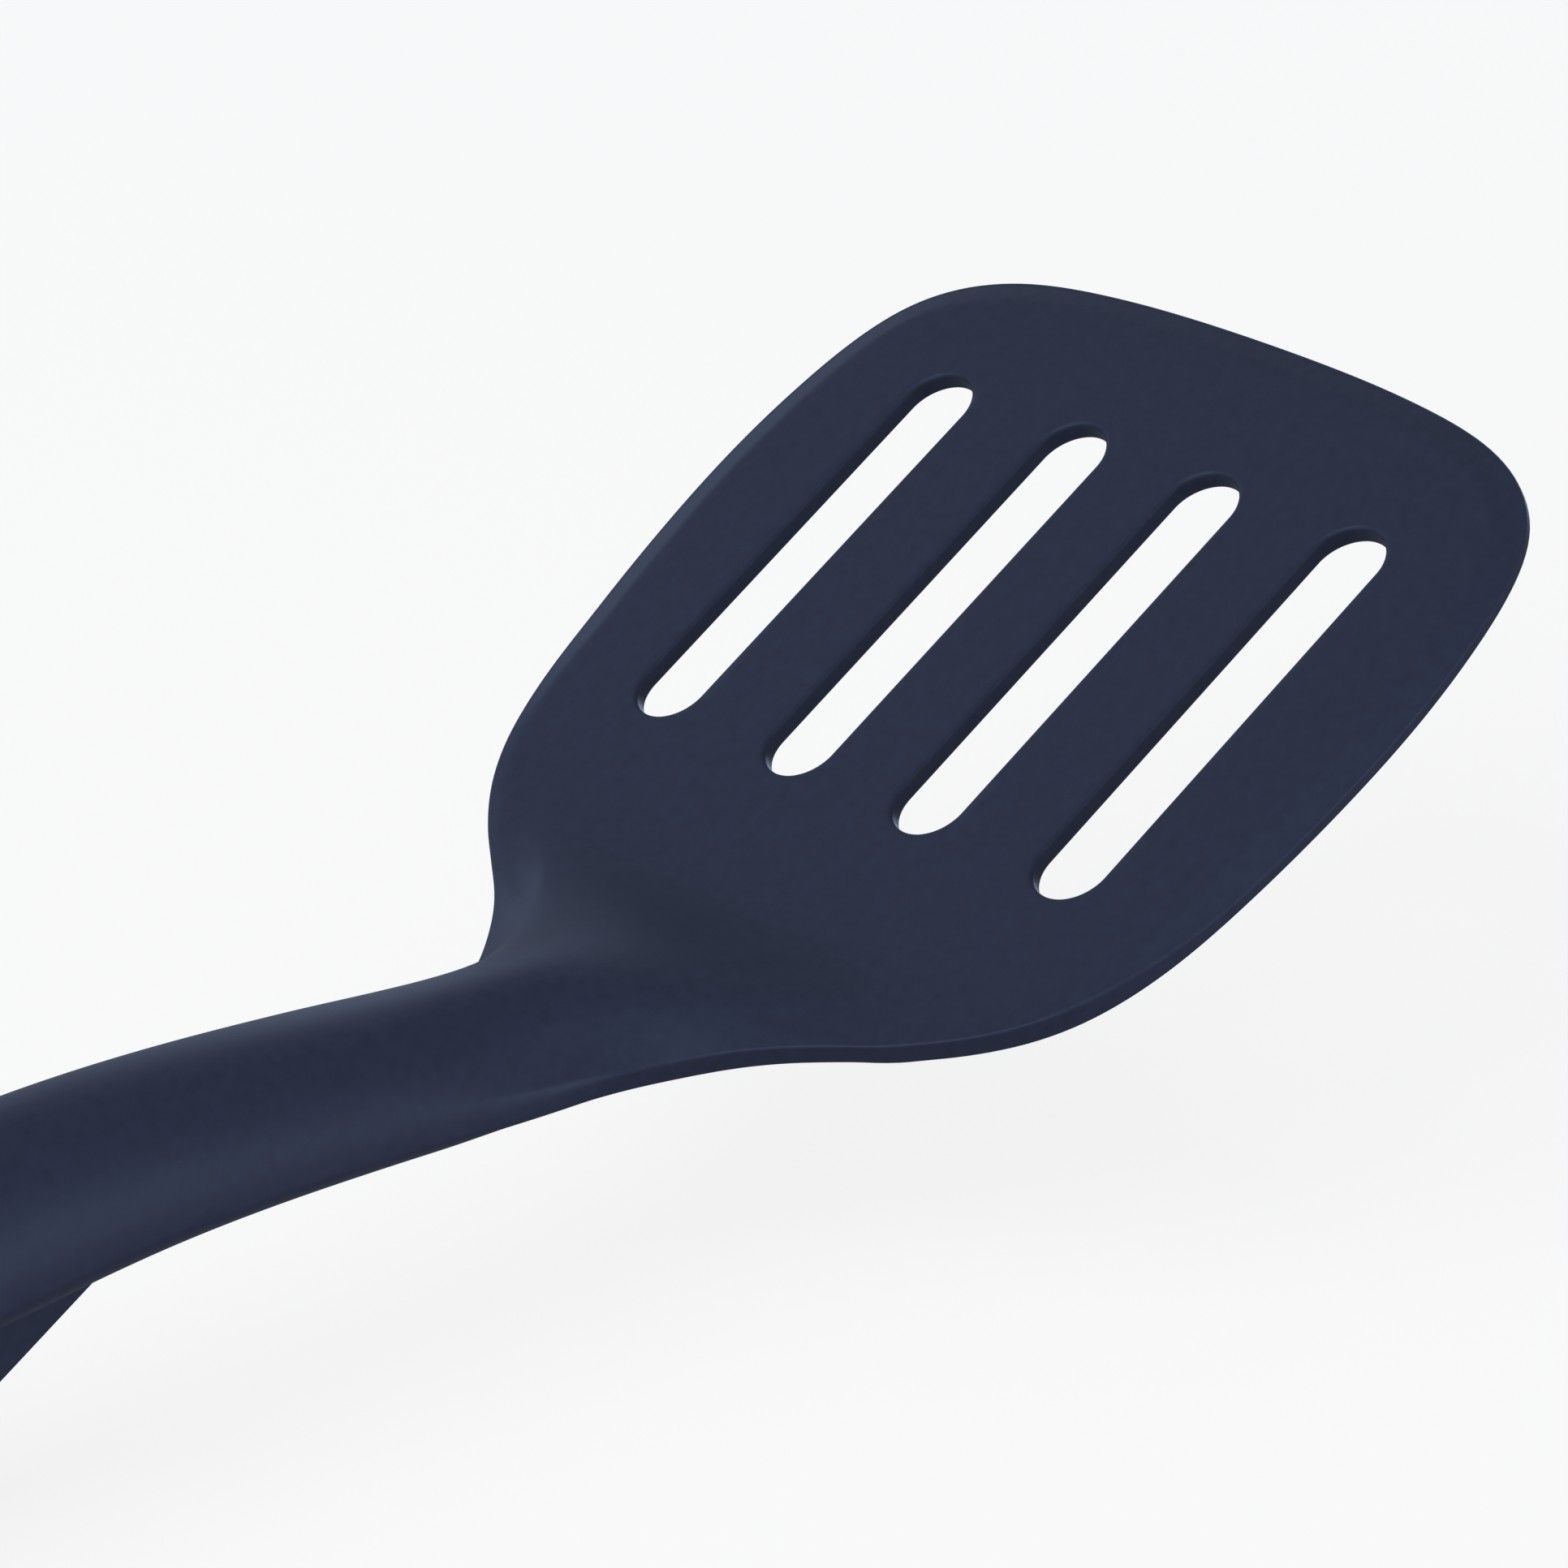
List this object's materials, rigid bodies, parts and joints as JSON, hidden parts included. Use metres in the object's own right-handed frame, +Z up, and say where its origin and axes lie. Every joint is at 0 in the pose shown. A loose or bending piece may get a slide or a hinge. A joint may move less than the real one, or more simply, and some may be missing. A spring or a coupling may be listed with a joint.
{
  "type": "slotted turner",
  "caption": "Slotted silicone kitchen turner with a steel-cored head, a bent neck, a tool rest and a hang hole.",
  "frame": {"origin": "centre of the bounding box on the worktop that the turner lies on, resting on its tool rest and its tail", "axes": "+X from the tail to the head's front edge, +Y to the left of someone who holds the handle, +Z up from the worktop"},
  "size_m": [0.3145, 0.0852, 0.0606],
  "materials": {
    "silicone": "matte",
    "nylon": "matte",
    "cap_nylon": "satin",
    "steel": "brushed"
  },
  "bodies": {
    "root": {"head_skin": "silicone", "grip_sleeve": "silicone", "rest_foot": "silicone", "arm_core": "nylon", "tail_cap": "cap_nylon", "blade_plate": "steel", "plate_rivets": "steel", "balance_weight": "steel", "cap_pin": "steel", "hang_eyelet": "steel"}
  },
  "joints": []
}
